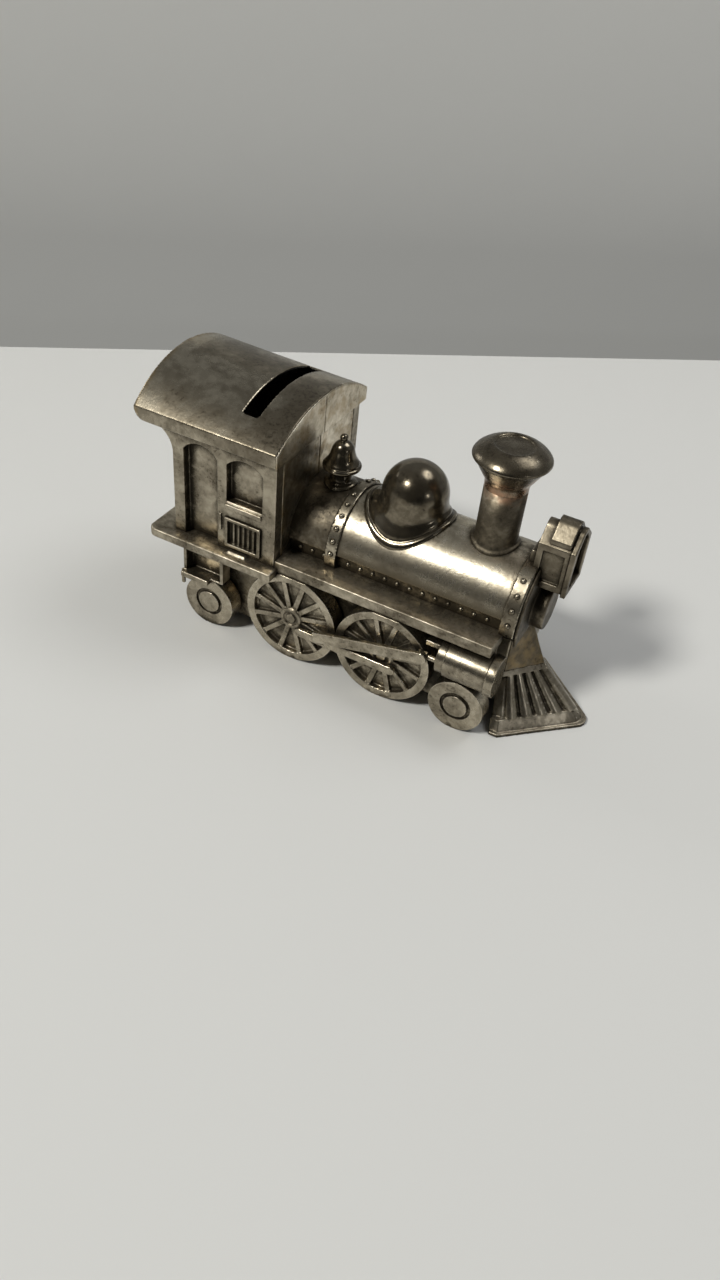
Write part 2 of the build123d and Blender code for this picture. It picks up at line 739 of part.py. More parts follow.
bell_stem_radius = 3.3
bell_foot_radius = 5.2
bell_foot_thickness = 0.9
with BuildPart() as bell_stand:
    with Locations((bell_x, 0, boiler_axis_z)):
        Cylinder(bell_stem_radius, bell_lip_z - boiler_axis_z, align=(Align.CENTER, Align.CENTER, Align.MIN))
    saddle_flange(bell_x, bell_foot_radius, bell_foot_thickness)
    boiler_envelope(boiler_radius, -40, 60, Mode.SUBTRACT)
    box_between((rear_band_x[0], -20, 0), (rear_band_x[1], 20, 60), mode=Mode.SUBTRACT)
save(bell_stand, "bell_stand")

# ---- headlamp: case, bezel, vent and rear bracket, under a sloping roof ----
lamp_ridge_half_width = 2.4
lamp_ridge_z = 66.0
lamp_mouth_half_width = 5.1
lamp_mouth_depth = 3.0
lamp_mouth_border = 1.3
bezel_thickness = 1.6
bezel_margin = 0.5
side_panel_x = (49.7, 56.1)
side_panel_z = (50.3, 60.4)
side_panel_depth = 1.0
vent_x = (51.0, 57.1)
vent_half_width = 6.1
vent_wall_z = 64.5
vent_ridge_half_width = 2.6
vent_ridge_z = 67.9
vent_crown_z = 69.0
bracket_x = 46.2
bracket_half_width = 5.2
bracket_top_z = 58.5


def gable_profile(half_width, bottom_z, spring_z, ridge, crown_z):
    # Straight walls and slopes with a rounded ridge. The ridge is its half width and the height it starts at.
    ridge_half_width, ridge_z = ridge
    with BuildLine() as outline:
        Polyline(
            (-ridge_half_width, ridge_z), (-half_width, spring_z), (-half_width, bottom_z),
            (half_width, bottom_z), (half_width, spring_z), (ridge_half_width, ridge_z),
        )
        ThreePointArc((ridge_half_width, ridge_z), (0, crown_z), (-ridge_half_width, ridge_z))
    make_face(outline.edges())


def lamp_outline():
    ridge = (lamp_ridge_half_width, lamp_ridge_z)
    gable_profile(lamp_half_width, lamp_floor_z, lamp_spring_z, ridge, lamp_crown_z)


def lamp_mouth():
    ridge = (lamp_ridge_half_width, lamp_ridge_z - lamp_mouth_border)
    bottom_z = lamp_floor_z + lamp_mouth_border
    spring_z = lamp_spring_z - lamp_mouth_border / 2
    gable_profile(lamp_mouth_half_width, bottom_z, spring_z, ridge, lamp_crown_z - lamp_mouth_border)


with BuildPart() as lamp_case:
    with BuildSketch(Plane.YZ.offset(lamp_x[0])):
        lamp_outline()
    extrude(amount=lamp_x[1] - lamp_x[0])
    with BuildSketch(Plane.YZ.offset(lamp_x[1])):
        lamp_mouth()
    extrude(amount=-lamp_mouth_depth, mode=Mode.SUBTRACT)
    for inner_y, outer_y in (
        (lamp_half_width - side_panel_depth, lamp_half_width),
        (-lamp_half_width, -lamp_half_width + side_panel_depth),
    ):
        box_between(
            (side_panel_x[0], inner_y, side_panel_z[0]),
            (side_panel_x[1], outer_y, side_panel_z[1]),
            mode=Mode.SUBTRACT,
        )
    boiler_envelope(band_radius, 40, boiler_front_x, Mode.SUBTRACT)
    boiler_envelope(smokebox_radius, boiler_front_x, smokebox_front_x, Mode.SUBTRACT)
save(lamp_case, "lamp_case")

with BuildPart() as lamp_bezel:
    with BuildSketch(Plane.YZ.offset(lamp_x[1])):
        gable_profile(
            lamp_half_width + bezel_margin, lamp_floor_z - bezel_margin, lamp_spring_z + bezel_margin / 2,
            (lamp_ridge_half_width, lamp_ridge_z + bezel_margin), lamp_crown_z + bezel_margin,
        )
    extrude(amount=bezel_thickness)
    with BuildSketch(Plane.YZ.offset(lamp_x[1])):
        lamp_mouth()
    extrude(amount=bezel_thickness, mode=Mode.SUBTRACT)
save(lamp_bezel, "lamp_bezel")

with BuildPart() as lamp_vent:
    with BuildSketch(Plane.YZ.offset(vent_x[0])):
        ridge = (vent_ridge_half_width, vent_ridge_z)
        gable_profile(vent_half_width, lamp_spring_z - 1, vent_wall_z, ridge, vent_crown_z)
    extrude(amount=vent_x[1] - vent_x[0])
    with BuildSketch(Plane.YZ.offset(lamp_x[0])):
        lamp_outline()
    extrude(amount=lamp_x[1] - lamp_x[0], mode=Mode.SUBTRACT)
save(lamp_vent, "lamp_vent")

with BuildPart() as lamp_bracket:
    box_between(
        (bracket_x, -bracket_half_width, lamp_floor_z),
        (lamp_x[0], bracket_half_width, bracket_top_z),
    )
    boiler_envelope(band_radius, 40, 60, Mode.SUBTRACT)
save(lamp_bracket, "lamp_bracket")

# ---- pilot: rounded slats between a bottom and a top rail, drawn as sections that shrink upwards ----
pilot_foot_z = 1.2
foot_margin = 0.4
pilot_foot_corner = (53.1, 21.5)
pilot_foot_point_x = front_end + 1.6     # before the point is rounded
pilot_top_corner = (48.1, 10.9)
pilot_top_point_x = 57.4
pilot_cheek = 2.8             # flat side behind each corner
pilot_point_radius = 4.0
pilot_corner_radius = 1.2
rail_top_z = 4.2
top_rail_z = 15.6
groove_depth = 2.0
slat_root = groove_depth + 0.8
slat_count = 4
first_slat = 0.10             # shares of the way from the corner to the point
slat_pitch = 0.185
slat_width = 0.15
slat_bulge = 0.9
crest_start = 0.88


def pilot_section(z):
    # Rear corner and point of the left half of the outline at a height.
    t = z / pilot_top_z
    corner = Vector(*pilot_foot_corner) * (1 - t) + Vector(*pilot_top_corner) * t
    point = Vector(pilot_foot_point_x * (1 - t) + pilot_top_point_x * t, 0)
    return corner, point


def pilot_outline(z, inset=0.0, rounding=1.0):
    corner, point = pilot_section(z)
    with BuildSketch(Plane.XY.offset(z), mode=Mode.PRIVATE) as outline:
        side = corner.Y - inset
        rear = corner.X - pilot_cheek
        Polygon(
            (rear, side), (rear, -side), (corner.X, -side), (point.X - inset, 0), (corner.X, side),
            align=None,
        )
        corners = outline.vertices().sort_by(Axis.X)
        fillet(corners[-1], pilot_point_radius * rounding)
        fillet(corners[2:4], pilot_corner_radius * rounding)
    return outline.sketch


def along_face(z, share):
    # A point on the sloping face, and the way into the pilot from there.
    corner, point = pilot_section(z)
    run = point - corner
    inward = Vector(run.Y, -run.X).normalized()
    return corner + run * share, inward


def slat_section(z, start, end):
    a, inward = along_face(z, start)
    b = along_face(z, end)[0]
    middle = (a + b) / 2
    back = inward * slat_root
    edge = inward * slat_bulge
    with BuildSketch(Plane.XY.offset(z), mode=Mode.PRIVATE) as section:
        with BuildLine():
            Polyline(
                tuple(a + edge)[:2], tuple(a + back)[:2], tuple(b + back)[:2], tuple(b + edge)[:2]
            )
            ThreePointArc(tuple(b + edge)[:2], tuple(middle)[:2], tuple(a + edge)[:2])
        make_face()
    return section.sketch


def crest_section(z, rounding):
    a = along_face(z, crest_start)[0]
    back_x = a.X - slat_root
    point = pilot_section(z)[1]
    with BuildSketch(Plane.XY.offset(z), mode=Mode.PRIVATE) as section:
        Polygon((a.X, a.Y), (back_x, a.Y), (back_x, -a.Y), (a.X, -a.Y), (point.X, 0), align=None)
        fillet(section.vertices().sort_by(Axis.X)[-1], pilot_point_radius * rounding)
    return section.sketch


with BuildPart() as pilot:
    extrude(pilot_outline(0), amount=pilot_foot_z)
    loft([pilot_outline(pilot_foot_z, foot_margin), pilot_outline(rail_top_z, foot_margin)])
    loft([pilot_outline(rail_top_z, groove_depth), pilot_outline(top_rail_z, groove_depth, 0.6)])
    loft([pilot_outline(top_rail_z, 0, 0.6), pilot_outline(pilot_top_z, 0, 0.6)])
    loft([crest_section(rail_top_z, 0.5), crest_section(top_rail_z, 0.3)])
    for i in range(slat_count):
        start = first_slat + slat_pitch * i
        end = start + slat_width
        slat = loft([slat_section(rail_top_z, start, end), slat_section(top_rail_z, start, end)])
        mirror(slat, about=Plane.XZ)
save(pilot, "pilot")

# ---- prow: the wedge between the pilot and the smokebox ----
prow_crest_x = (pilot_top_point_x, 50.4)
with BuildPart() as prow:
    sections = []
    for z, crest_x in zip((pilot_top_z, smokebox_foot_z), prow_crest_x):
        with BuildSketch(Plane.XY.offset(z), mode=Mode.PRIVATE) as section:
            side = pilot_top_corner[1]
            Polygon((block_front_x, side), (block_front_x, -side), (crest_x, 0), align=None)
        sections.append(section.sketch)
    loft(sections)
save(prow, "prow")
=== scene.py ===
import json
import math

import bmesh
import bpy
import numpy as np
from mathutils import Matrix, Vector, noise


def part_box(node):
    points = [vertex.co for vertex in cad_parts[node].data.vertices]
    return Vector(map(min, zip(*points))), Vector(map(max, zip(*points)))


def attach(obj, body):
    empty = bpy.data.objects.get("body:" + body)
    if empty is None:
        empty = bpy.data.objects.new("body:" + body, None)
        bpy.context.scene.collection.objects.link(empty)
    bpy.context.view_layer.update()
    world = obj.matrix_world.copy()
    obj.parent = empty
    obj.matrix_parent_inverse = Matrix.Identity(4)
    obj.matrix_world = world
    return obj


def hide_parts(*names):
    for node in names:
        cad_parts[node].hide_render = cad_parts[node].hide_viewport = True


# A silver-plated coin bank in the shape of a steam locomotive.
# Lengths are in millimetres and are turned into metres where a mesh or an object is made.
# X runs forward, Y to the locomotive's left and Z up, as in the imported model.

MM = 0.001
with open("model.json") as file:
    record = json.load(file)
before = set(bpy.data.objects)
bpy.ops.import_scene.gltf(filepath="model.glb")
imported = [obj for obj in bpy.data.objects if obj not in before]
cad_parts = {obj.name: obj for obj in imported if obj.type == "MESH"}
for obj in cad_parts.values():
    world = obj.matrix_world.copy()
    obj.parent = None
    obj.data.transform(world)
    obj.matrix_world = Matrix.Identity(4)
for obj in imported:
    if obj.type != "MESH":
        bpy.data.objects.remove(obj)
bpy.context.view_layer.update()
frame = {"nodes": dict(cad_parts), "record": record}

# ---- how a casting is softened ----
FINE_VOXEL = 0.22
MEDIUM_VOXEL = 0.30
COARSE_VOXEL = 0.42
RELAX_IN = 0.50               # the two steps of a smoothing that keeps volume
RELAX_OUT = -0.53
RELAX_ROUNDS = 3
SNAP_REACH = 0.14             # how far a point may be pulled onto its true round surface
WAVE_LENGTH = 9.0             # slow unevenness of a cast and polished surface
WAVE_HEIGHT = 0.035
RIPPLE_SHARE = 0.4            # a finer unevenness on top of the slow one
RIPPLE_LENGTH_SHARE = 0.37


def low(node):
    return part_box(node)[0] / MM


def high(node):
    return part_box(node)[1] / MM


def middle(node):
    return (low(node) + high(node)) / 2


BODY_OF = {n: body for body, names in frame["record"]["behaviour"]["bodies"].items() for n in names}
NODES = sorted(frame["nodes"])

# Measures that several pieces share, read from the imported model.
BOILER_RADIUS = (high("boiler_barrel").y - low("boiler_barrel").y) / 2
BOILER_AXIS_Z = high("boiler_barrel").z - BOILER_RADIUS
BAND_RADIUS = (high("rear_boiler_band").y - low("rear_boiler_band").y) / 2


# ---- meshes ----
def mesh_arrays(mesh):
    points = np.empty(len(mesh.vertices) * 3)
    mesh.vertices.foreach_get("co", points)
    ends = np.empty(len(mesh.edges) * 2, dtype=np.int64)
    mesh.edges.foreach_get("vertices", ends)
    return points.reshape(-1, 3), ends.reshape(-1, 2)


def set_points(mesh, points):
    mesh.vertices.foreach_set("co", points.ravel())
    mesh.update()


def relaxed(points, ends, rounds):
    a, b = ends.T
    count = np.bincount(ends.ravel(), minlength=len(points))[:, None]
    for step in (RELAX_IN, RELAX_OUT) * rounds:
        total = np.stack(
            [
                np.bincount(a, points[b, k], len(points)) + np.bincount(b, points[a, k], len(points))
                for k in range(3)
            ],
            axis=1,
        )
        points = points + step * (total / np.maximum(count, 1) - points)
    return points


def snapped(points, axis, centre, radius):
    """Points near a round surface moved onto it. The axis is 0, 1 or 2, and the centre a point on it."""
    across = [k for k in range(3) if k != axis]
    offset = points[:, across] - np.array(centre)
    distance = np.linalg.norm(offset, axis=1)
    near = np.abs(distance - radius) < SNAP_REACH
    points[np.ix_(near, across)] = np.array(centre) + offset[near] * (radius / distance[near])[:, None]
    return points


def waved(mesh, height):
    points, _ = mesh_arrays(mesh)
    normals = np.empty(len(points) * 3)
    mesh.vertex_normals.foreach_get("vector", normals)
    rise = np.array(
        [
            noise.noise(Vector(p) / WAVE_LENGTH)
            + RIPPLE_SHARE * noise.noise(Vector(p) / (WAVE_LENGTH * RIPPLE_LENGTH_SHARE))
            for p in points
        ]
    )
    set_points(mesh, points + normals.reshape(-1, 3) * (rise * height)[:, None])


def add_piece(name, mesh, body):
    piece = bpy.data.objects.new(name, mesh)
    bpy.context.scene.collection.objects.link(piece)
    mesh.transform(Matrix.Scale(MM, 4))
    mesh.polygons.foreach_set("use_smooth", [True] * len(mesh.polygons))
    mesh.update()
    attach(piece, body)
    return piece


def remeshed(mesh, voxel):
    """The same closed shape as an even mesh, in millimetres."""
    holder = bpy.data.objects.new("holder", mesh)
    bpy.context.scene.collection.objects.link(holder)
    even = holder.modifiers.new("even", "REMESH")
    even.mode = "VOXEL"
    even.voxel_size = voxel
    graph = bpy.context.evaluated_depsgraph_get()
    result = bpy.data.meshes.new_from_object(holder.evaluated_get(graph))
    bpy.data.objects.remove(holder)
    return result


def cad_copy(node):
    mesh = frame["nodes"][node].data.copy()
    mesh.transform(Matrix.Scale(1 / MM, 4))
    work = bmesh.new()
    work.from_mesh(mesh)
    bmesh.ops.remove_doubles(work, verts=work.verts, dist=0.0005)
    work.to_mesh(mesh)
    work.free()
    mesh.materials.clear()
    return mesh


def cast(node, voxel, rounds_of):
    """A CAD node as a casting: its edges rounded and its faces very slightly uneven."""
    mesh = remeshed(cad_copy(node), voxel)
    points, ends = mesh_arrays(mesh)
    points = relaxed(points, ends, RELAX_ROUNDS)
    for axis, centre, radius in rounds_of:
        points = snapped(points, axis, centre, radius)
    set_points(mesh, points)
    waved(mesh, WAVE_HEIGHT)
    return stand_for(add_piece(node + "_cast", mesh, BODY_OF[node]), node)


def stand_for(piece, node):
    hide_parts(node)
    return piece


def flowing(points, steps):
    """A smooth line through the points, as many steps to each stretch."""
    p = np.array([points[0], *points, points[-1]], float)
    line = []
    for i in range(1, len(p) - 2):
        for t in np.arange(steps) / steps:
            line.append(
                0.5 * (
                    2 * p[i] + (p[i + 1] - p[i - 1]) * t
                    + (2 * p[i - 1] - 5 * p[i] + 4 * p[i + 1] - p[i + 2]) * t**2
                    + (3 * p[i] - p[i - 1] - 3 * p[i + 1] + p[i + 2]) * t**3
                )
            )
    return [*line, p[-2]]


def boiler_top(y):
    return BOILER_AXIS_Z + math.sqrt(max(BOILER_RADIUS**2 - y * y, 0.0))


def turned(profile, centre_x, sides=192):
    """A closed round shape from (radius, height) rows, which start and end on the axis.

    A row of (radius, rise, follow) stands that far above the boiler. Where follow is 1 it bends with the
    boiler's curve, and where it is 0 it is level with the boiler's crown.
    """
    mesh = bpy.data.meshes.new("turned")
    work = bmesh.new()
    rings = []
    for row in profile:
        radius = row[0]
        spread = [0.0] if radius < 1e-6 else [2 * math.pi * k / sides for k in range(sides)]
        ring = []
        for angle in spread:
            y = radius * math.sin(angle)
            height = row[1]
            if len(row) == 3:
                height += boiler_top(y) * row[2] + boiler_top(0) * (1 - row[2])
            ring.append(work.verts.new((centre_x + radius * math.cos(angle), y, height)))
        rings.append(ring)
    for lower, upper in zip(rings, rings[1:]):
        for k in range(sides):
            n = (k + 1) % sides
            corners = [
                lower[k % len(lower)], lower[n % len(lower)],
                upper[n % len(upper)], upper[k % len(upper)],
            ]
            corners = list(dict.fromkeys(corners))
            if len(corners) > 2:
                work.faces.new(corners)
    bmesh.ops.recalc_face_normals(work, faces=work.faces)
    work.to_mesh(mesh)
    work.free()
    return mesh


# ---- materials ----
class Tree:
    """Short ways to add the nodes that the plate materials share."""

    def __init__(self, name):
        self.material = bpy.data.materials.new(name)
        self.material.use_nodes = True
        self.nodes = self.material.node_tree.nodes
        self.links = self.material.node_tree.links
        self.shader = self.nodes["Principled BSDF"]
        self.place = self.nodes.new("ShaderNodeTexCoord").outputs["Object"]

    def feed(self, socket, value):
        if isinstance(value, bpy.types.NodeSocket):
            self.links.new(value, socket)
        else:
            socket.default_value = value

    def math(self, operation, a, b=0.0, clamp=False):
        node = self.nodes.new("ShaderNodeMath")
        node.operation = operation
        node.use_clamp = clamp
        self.feed(node.inputs[0], a)
        self.feed(node.inputs[1], b)
        return node.outputs[0]

    def span(self, value, from_low, from_high, to_low=0.0, to_high=1.0):
        node = self.nodes.new("ShaderNodeMapRange")
        node.interpolation_type = "SMOOTHSTEP"
        self.feed(node.inputs["Value"], value)
        node.inputs["From Min"].default_value = from_low
        node.inputs["From Max"].default_value = from_high
        node.inputs["To Min"].default_value = to_low
        node.inputs["To Max"].default_value = to_high
        return node.outputs["Result"]

    def noise(self, size_mm, detail=3.0, roughness=0.55, distortion=0.0):
        node = self.nodes.new("ShaderNodeTexNoise")
        node.inputs["Scale"].default_value = 1 / (size_mm * MM)
        node.inputs["Detail"].default_value = detail
        node.inputs["Roughness"].default_value = roughness
        node.inputs["Distortion"].default_value = distortion
        self.links.new(self.place, node.inputs["Vector"])
        return node.outputs["Fac"]

    def ramp(self, value, stops):
        node = self.nodes.new("ShaderNodeValToRGB")
        elements = node.color_ramp.elements
        while len(elements) < len(stops):
            elements.new(0.5)
        for element, (at, colour) in zip(elements, stops):
            element.position = at
            element.color = (*colour, 1.0)
        self.feed(node.inputs["Fac"], value)
        return node.outputs["Color"]

    def mix(self, share, a, b):
        node = self.nodes.new("ShaderNodeMix")
        node.data_type = "RGBA"
        self.feed(node.inputs["Factor"], share)
        self.feed(node.inputs["A"], a)
        self.feed(node.inputs["B"], b)
        return node.outputs["Result"]

    def bump(self, height, strength, reach_mm, normal=None):
        node = self.nodes.new("ShaderNodeBump")
        node.inputs["Strength"].default_value = strength
        node.inputs["Distance"].default_value = reach_mm * MM
        self.feed(node.inputs["Height"], height)
        if normal is not None:
            self.links.new(normal, node.inputs["Normal"])
        return node.outputs["Normal"]


PLATE_STOPS = (
    (0.00, (0.80, 0.74, 0.62)),
    (0.28, (0.50, 0.445, 0.345)),
    (0.52, (0.27, 0.236, 0.178)),
    (0.76, (0.125, 0.105, 0.074)),
    (1.00, (0.040, 0.032, 0.020)),
)
COPPER = (0.46, 0.27, 0.165)
BRASS = (0.30, 0.215, 0.105)

# Sizes of the patterns in the plating, in millimetres.
MOTTLE_MM = 2.6
SPECKLE_MM = 1.1
GRAIN_MM = 0.5
# Noise and shelter values between which each effect sets in.
CLOUD_RANGE = (0.36, 0.64)
MOTTLE_RANGE = (0.34, 0.66)
# HIDDEN_RANGE, GROOVE_RANGE and BORDER_RANGE set where sheltered places, creases and their borders darken:
# partly tarnish, partly painted shade.
HIDDEN_RANGE = (0.97, 0.55)
EDGE_RANGE = (0.515, 0.60)
GROOVE_RANGE = (0.485, 0.42)
BORDER_RANGE = (0.34, 0.52)
SPECK_RANGE = (0.66, 0.80)
# How strong each effect is.
BORDER_CREEP = 0.5
SPECK_CLUSTERING = 0.16
SPECK_SHARE = 0.22
# GROOVE_SHARE is how much creases darken: partly tarnish, partly painted shade.
GROOVE_SHARE = 0.35
SCUFF_SHARE = 0.10


def about_zero(t, value, share):
    return t.math("MULTIPLY", t.math("SUBTRACT", value, 0.5), share)


def plate(name, tarnish=0.4, blotch=0.25, mottle=0.16, cavity_tarnish_and_shade=0.5, border_stain_and_shade=0.3, wear=0.35,
          polish=0.2, dull=0.5, blotch_mm=13.0, reach=4.5, tint=None):
    """Silver plate: bright where it is handled, grey-brown over its faces and dark in its corners, from
    tarnish and from painted shade.

    tarnish is how dark it mostly is, from 0 to 1. blotch and mottle are how much its large and its small
    patches differ, cavity_tarnish_and_shade and border_stain_and_shade how dark it is in sheltered places
    and along their borders, partly tarnish that gathers there and partly painted shade, and wear how
    bright its edges are. polish and dull are its roughness where it is bright and where it is dark.
    """
    t = Tree(name)
    clouds = t.span(t.noise(blotch_mm, 4.0, 0.6, 0.5), *CLOUD_RANGE)
    mottling = t.span(t.noise(MOTTLE_MM, 5.0, 0.62, 0.3), *MOTTLE_RANGE)
    grain = t.noise(GRAIN_MM, 3.0, 0.6)
    # Ambient occlusion finds sheltered places. Darkening them is partly tarnish that gathers in hollows and
    # partly painted shade.
    shelter = t.nodes.new("ShaderNodeAmbientOcclusion")
    shelter.samples = 8
    shelter.inputs["Distance"].default_value = reach * MM
    hollow_tarnish_and_shade = t.span(shelter.outputs["AO"], *HIDDEN_RANGE)
    point = t.nodes.new("ShaderNodeNewGeometry").outputs["Pointiness"]
    edge = t.span(point, *EDGE_RANGE)
    # groove darkens concave creases: partly tarnish, partly painted shade.
    groove = t.span(point, *GROOVE_RANGE)
    ragged = t.math("MULTIPLY", hollow_tarnish_and_shade, t.span(mottling, 0.0, 1.0, 0.6, 1.3))
    speckle = t.noise(SPECKLE_MM, 4.0, 0.65, 0.6)
    creep = t.math("ADD", hollow_tarnish_and_shade, about_zero(t, mottling, BORDER_CREEP))
    border = t.span(creep, *BORDER_RANGE)
    clustered = t.math("ADD", speckle, t.math("MULTIPLY", clouds, SPECK_CLUSTERING))
    specks = t.span(clustered, *SPECK_RANGE)

    value = t.math("MULTIPLY_ADD", clouds, blotch)
    value.node.inputs[2].default_value = tarnish - blotch / 2
    value = t.math("ADD", value, about_zero(t, mottling, mottle))
    value = t.math("ADD", value, t.math("MULTIPLY", ragged, cavity_tarnish_and_shade))
    value = t.math("ADD", value, t.math("MULTIPLY", border, border_stain_and_shade))
    value = t.math("ADD", value, t.math("MULTIPLY", specks, SPECK_SHARE))
    value = t.math("ADD", value, t.math("MULTIPLY", groove, GROOVE_SHARE))
    value = t.math("SUBTRACT", value, t.math("MULTIPLY", edge, wear), clamp=True)

    colour = t.ramp(value, PLATE_STOPS)
    if tint is not None:
        tint_colour, share = tint(t)
        colour = t.mix(share, colour, tint_colour)
    t.feed(t.shader.inputs["Base Color"], colour)
    t.feed(t.shader.inputs["Metallic"], t.span(value, 0.6, 1.0, 1.0, 0.7))
    gloss = t.span(value, 0.1, 0.85, polish, dull)
    roughness = t.math("ADD", gloss, about_zero(t, grain, SCUFF_SHARE), clamp=True)
    t.feed(t.shader.inputs["Roughness"], roughness)
    fine = t.bump(grain, 0.10, 0.05)
    t.feed(t.shader.inputs["Normal"], t.bump(mottling, 0.16, 0.10, fine))
    return t.material


RUBBER = (0.02, 0.02, 0.02, 1)
DUSTY_RUBBER = (0.06, 0.058, 0.055, 1)


def rubber(name):
    t = Tree(name)
    grain = t.noise(0.35, 4.0)
    dust = t.noise(4.0, 3.0)
    t.feed(t.shader.inputs["Base Color"], t.mix(t.span(dust, 0.45, 0.75), RUBBER, DUSTY_RUBBER))
    t.feed(t.shader.inputs["Roughness"], t.span(grain, 0.3, 0.7, 0.55, 0.75))
    t.feed(t.shader.inputs["Normal"], t.bump(grain, 0.2, 0.05))
    return t.material


def height_share(t, low_mm, high_mm, axis="Z"):
    split = t.nodes.new("ShaderNodeSeparateXYZ")
    t.links.new(t.place, split.inputs["Vector"])
    return t.span(split.outputs[axis], low_mm * MM, high_mm * MM)


def copper_neck(t):
    # The plating has gone from the top of the neck.
    z = high("smokestack").z
    patches = t.span(t.noise(4.0, 3.0), 0.38, 0.62, 0.05, 0.6)
    return (*COPPER, 1), t.math("MULTIPLY", height_share(t, z - 4.0, z), patches)


def copper_flare(t):
    z = high("smokestack").z
    patches = t.span(t.noise(5.0, 3.0), 0.38, 0.62, 0.10, 0.75)
    return (*COPPER, 1), t.math("MULTIPLY", height_share(t, z + 8.0, z + 4.5), patches)


OPENINGS = {row["name"]: row["box_m"] for row in frame["record"]["physics"]["openings"]}
SLOT_EDGE = 0.35              # from the free way through the slot to its walls
SLOT_END = 1.3
SLOT_BLUR = 0.1
# Near black: painted shade on the walls of the coin slot.
SLOT_PAINTED_SHADE = (0.01, 0.009, 0.007, 1)
WORN_REAR = 2.5               # how far the brassy tone reaches from the roof's rear edge


def slot_shade_and_worn_rear(t):
    # The walls of the coin slot are painted near black as painted shade, and the rounded rear edge is worn
    # to a brassy tone.
    (x0, y0, _), (x1, y1, _) = OPENINGS["coin_slot"]
    x0, x1, y0, y1 = (v / MM for v in (x0, x1, y0, y1))
    x0, x1 = x0 - SLOT_EDGE, x1 + SLOT_EDGE
    y0, y1 = y0 - SLOT_END, y1 + SLOT_END
    inside = t.math("MULTIPLY", height_share(t, x0 - SLOT_BLUR, x0, "X"),
                    height_share(t, x1 + SLOT_BLUR, x1, "X"))
    inside = t.math("MULTIPLY", inside, height_share(t, y0, y0 + SLOT_BLUR, "Y"))
    inside = t.math("MULTIPLY", inside, height_share(t, y1, y1 - SLOT_BLUR, "Y"))
    x = low("cab_roof").x
    rear = height_share(t, x + WORN_REAR, x, "X")
    rear = t.math("MULTIPLY", rear, t.span(t.noise(3.0, 4.0), 0.35, 0.6, 0.1, 0.8))
    return t.mix(inside, (*BRASS, 1), SLOT_PAINTED_SHADE), t.math("MAXIMUM", rear, inside)


def brassy_patches(t):
    return (*BRASS, 1), t.span(t.noise(4.0, 4.0), 0.42, 0.62, 0.10, 0.60)


def tarnish_and_shade_low(t):
    # Boiler sheet stays bright along its shoulder and is darker towards its lower edge: partly tarnish,
    # partly painted shade for the darker running board and deck that the lower boiler reflects.
    z = low("boiler_barrel").z
    dark = (*PLATE_STOPS[3][1], 1)
    return dark, height_share(t, z + 6.5, z + 0.5)


ROOF_PLATE = plate(
    "roof_plate", tarnish=0.56, blotch=0.36, mottle=0.12, cavity_tarnish_and_shade=0.2, border_stain_and_shade=0.1, wear=0.3,
    polish=0.2, dull=0.34, blotch_mm=20, tint=slot_shade_and_worn_rear,
)
CAB_PLATE = plate(
    "cab_plate", tarnish=0.46, blotch=0.18, mottle=0.13, cavity_tarnish_and_shade=0.42, border_stain_and_shade=0.5, wear=0.34,
    polish=0.24, dull=0.5,
)
GRILLE_PLATE = plate(
    "grille_plate", tarnish=0.58, blotch=0.18, mottle=0.16, cavity_tarnish_and_shade=0.6, border_stain_and_shade=0.2, wear=0.6,
    polish=0.24, dull=0.5, reach=2.2,
)
DARK_PLATE = plate(
    "dark_plate", tarnish=0.5, blotch=0.2, mottle=0.18, cavity_tarnish_and_shade=0.3, border_stain_and_shade=0.15, wear=0.25,
    polish=0.28, dull=0.55,
)
# A copy of the cab's plate, painted lighter for the cab's front wall to make up for the shade the wall
# stands in.
LIGHTENED_FOR_SHADE_PLATE = plate(
    "lightened_for_shade_plate", tarnish=0.25, blotch=0.2, mottle=0.2, cavity_tarnish_and_shade=0.2, border_stain_and_shade=0.1, wear=0.25,
    polish=0.3, dull=0.55, tint=brassy_patches,
)
PROW_PLATE = plate(
    "prow_plate", tarnish=0.8, blotch=0.2, mottle=0.16, cavity_tarnish_and_shade=0.3, border_stain_and_shade=0.2, wear=0.3,
    polish=0.2, dull=0.4, reach=3.0, tint=brassy_patches,
)
WHEEL_PLATE = plate(
    "wheel_plate", tarnish=0.4, blotch=0.2, mottle=0.16, cavity_tarnish_and_shade=0.22, border_stain_and_shade=0.22, wear=0.34,
    polish=0.22, dull=0.46, reach=3.0,
)
BOILER_PLATE = plate(
    "boiler_plate", tarnish=0.38, blotch=0.28, mottle=0.16, cavity_tarnish_and_shade=0.4, border_stain_and_shade=0.25, wear=0.2,
    polish=0.26, dull=0.42, blotch_mm=16, tint=tarnish_and_shade_low,
)
BAND_PLATE = plate(
    "band_plate", tarnish=0.5, blotch=0.22, mottle=0.14, cavity_tarnish_and_shade=0.45, wear=0.3, polish=0.18,
    dull=0.4,
)
RIVET_PLATE = plate(
    "rivet_plate", tarnish=0.68, blotch=0.2, mottle=0.14, cavity_tarnish_and_shade=0.4, wear=0.5, polish=0.2,
    dull=0.45, reach=1.5,
)
FIREBOX_PLATE = plate(
    "firebox_plate", tarnish=0.76, blotch=0.26, mottle=0.2, cavity_tarnish_and_shade=0.3, border_stain_and_shade=0.15, wear=0.2,
    polish=0.2, dull=0.45,
)
CRADLE_PLATE = plate(
    "cradle_plate", tarnish=0.8, blotch=0.2, mottle=0.2, cavity_tarnish_and_shade=0.2, border_stain_and_shade=0.1, wear=0.2,
    polish=0.25, dull=0.5,
)
DOME_PLATE = plate(
    "dome_plate", tarnish=0.74, blotch=0.2, mottle=0.12, cavity_tarnish_and_shade=0.3, border_stain_and_shade=0.05, wear=0.25,
    polish=0.1, dull=0.2, reach=2.5,
)
